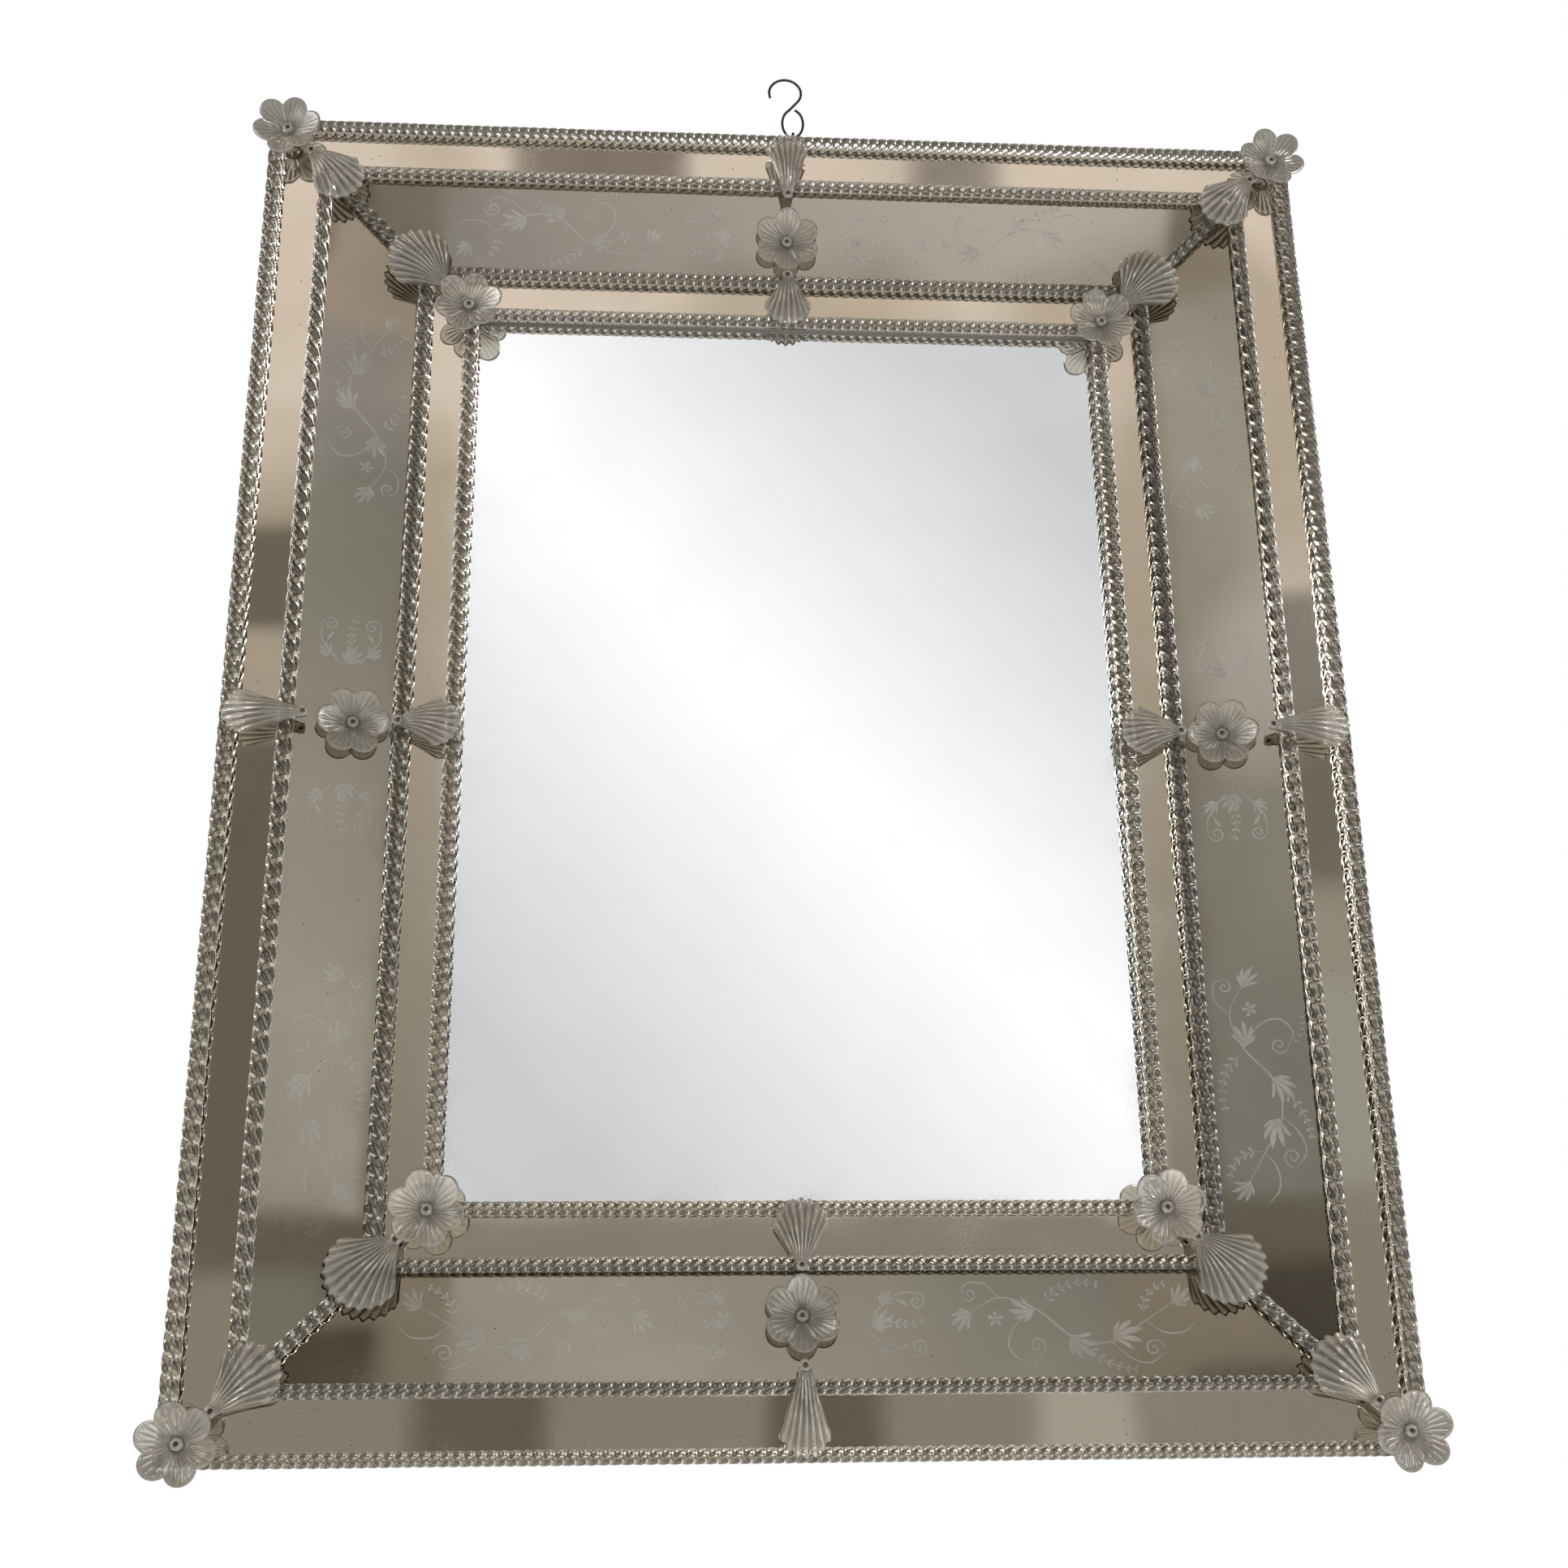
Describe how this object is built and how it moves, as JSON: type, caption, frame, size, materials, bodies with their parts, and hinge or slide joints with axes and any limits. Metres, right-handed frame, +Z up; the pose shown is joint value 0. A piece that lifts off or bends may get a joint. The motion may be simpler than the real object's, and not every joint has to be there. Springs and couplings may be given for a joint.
{
  "type": "wall mirror",
  "caption": "Tall Venetian wall mirror: stepped mirror glass frame with twisted glass ropes, engraved bands, glass flowers and leaves, and a wire hook to hang it by.",
  "frame": {"origin": "centre of the flat back face, which lies against the wall", "axes": "+Z up, +Y into the wall, -Y out of the front of the mirror, +X to the right as seen from the front"},
  "size_m": [1.0756, 0.0698, 1.4078],
  "materials": {
    "dark_wood": "old stained softwood, matt, dusty",
    "old_mirror": "silvered glass with age spots; wide bands engraved with scrolls and leaves",
    "clear_glass": "clear hand-drawn and pressed glass",
    "dark_iron": "dark iron wire, slightly rusty"
  },
  "bodies": {
    "root": {"wood_rail_top": "dark_wood", "wood_rail_right": "dark_wood", "wood_rail_bottom": "dark_wood", "wood_rail_left": "dark_wood", "back_panel": "dark_wood", "center_mirror": "old_mirror", "outer_strip_top": "old_mirror", "outer_strip_right": "old_mirror", "outer_strip_bottom": "old_mirror", "outer_strip_left": "old_mirror", "engraved_band_top": "old_mirror", "engraved_band_right": "old_mirror", "engraved_band_bottom": "old_mirror", "engraved_band_left": "old_mirror", "inner_strip_top": "old_mirror", "inner_strip_right": "old_mirror", "inner_strip_bottom": "old_mirror", "inner_strip_left": "old_mirror", "outer_rope_top": "clear_glass", "outer_rope_right": "clear_glass", "outer_rope_bottom": "clear_glass", "outer_rope_left": "clear_glass", "ridge_rope_top": "clear_glass", "ridge_rope_right": "clear_glass", "ridge_rope_bottom": "clear_glass", "ridge_rope_left": "clear_glass", "band_rope_top": "clear_glass", "band_rope_right": "clear_glass", "band_rope_bottom": "clear_glass", "band_rope_left": "clear_glass", "inner_rope_top": "clear_glass", "inner_rope_right": "clear_glass", "inner_rope_bottom": "clear_glass", "inner_rope_left": "clear_glass", "mitre_rope_top_left": "clear_glass", "mitre_rope_top_right": "clear_glass", "mitre_rope_bottom_right": "clear_glass", "mitre_rope_bottom_left": "clear_glass", "outer_spray_top_left": "clear_glass", "inner_spray_top_left": "clear_glass", "outer_spray_top_right": "clear_glass", "inner_spray_top_right": "clear_glass", "outer_spray_bottom_right": "clear_glass", "inner_spray_bottom_right": "clear_glass", "outer_spray_bottom_left": "clear_glass", "inner_spray_bottom_left": "clear_glass", "side_flower_top": "clear_glass", "outer_leaf_top": "clear_glass", "inner_leaf_top": "clear_glass", "side_flower_right": "clear_glass", "outer_leaf_right": "clear_glass", "inner_leaf_right": "clear_glass", "side_flower_bottom": "clear_glass", "outer_leaf_bottom": "clear_glass", "inner_leaf_bottom": "clear_glass", "side_flower_left": "clear_glass", "outer_leaf_left": "clear_glass", "inner_leaf_left": "clear_glass", "hanging_hook": "dark_iron", "screw_eye": "dark_iron"}
  },
  "joints": []
}
